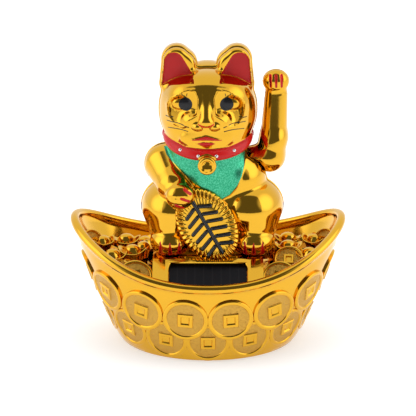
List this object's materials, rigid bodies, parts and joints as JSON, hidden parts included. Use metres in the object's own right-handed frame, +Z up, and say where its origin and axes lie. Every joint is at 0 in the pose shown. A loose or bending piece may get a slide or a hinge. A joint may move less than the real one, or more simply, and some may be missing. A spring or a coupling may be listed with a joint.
{
  "type": "solar waving cat figurine",
  "caption": "Gold beckoning cat on a boat-shaped ingot base; a solar cell drives a pendulum inside that swings its raised arm.",
  "frame": {"origin": "centre of the footprint on the table", "axes": "+Z up, the cat faces -Y, +X is the side of the waving arm"},
  "size_m": [0.09, 0.065, 0.0999],
  "materials": {
    "gold": "vacuum-metallised mirror gold; collar, bib, eyes, ears and claws are painted on it",
    "cell": "black thin-film cell on glass",
    "steel": "zinc plated",
    "nickel": "nickel-plated magnet",
    "copper": "enamelled copper wire",
    "white_plastic": "natural moulded plastic",
    "board": "green solder mask",
    "black_plastic": "moulded chip body",
    "capacitor": "sleeved aluminium can",
    "wire_red": "insulated wire",
    "wire_black": "insulated wire"
  },
  "bodies": {
    "base": {"ingot_bowl": "gold", "treasure_deck": "gold", "bottom_cover": "gold", "cover_screws": "steel", "solar_cell": "cell", "solar_wire_red": "wire_red", "solar_wire_black": "wire_black", "circuit_board": "board", "board_screws": "steel", "drive_chip": "black_plastic", "storage_capacitor": "capacitor", "coil_leads": "copper", "front_shell": "gold", "rear_shell": "gold", "body_screws": "steel", "mechanism_frame": "white_plastic", "frame_screws": "steel", "coil_bobbin": "white_plastic", "coil_winding": "copper"},
    "waving_arm": {"pivot_shaft": "steel", "pendulum_lever": "white_plastic", "drive_magnet": "nickel", "balance_weight": "steel", "arm_hub": "white_plastic", "arm_front_half": "gold", "arm_rear_half": "gold"}
  },
  "joints": [
    {"name": "arm_swing", "type": "hinge", "parent": "base", "child": "waving_arm", "pos_m": [0, 0.001, 0.0615], "axis": [1, 0, 0], "range_deg": [-15, 15]}
  ]
}
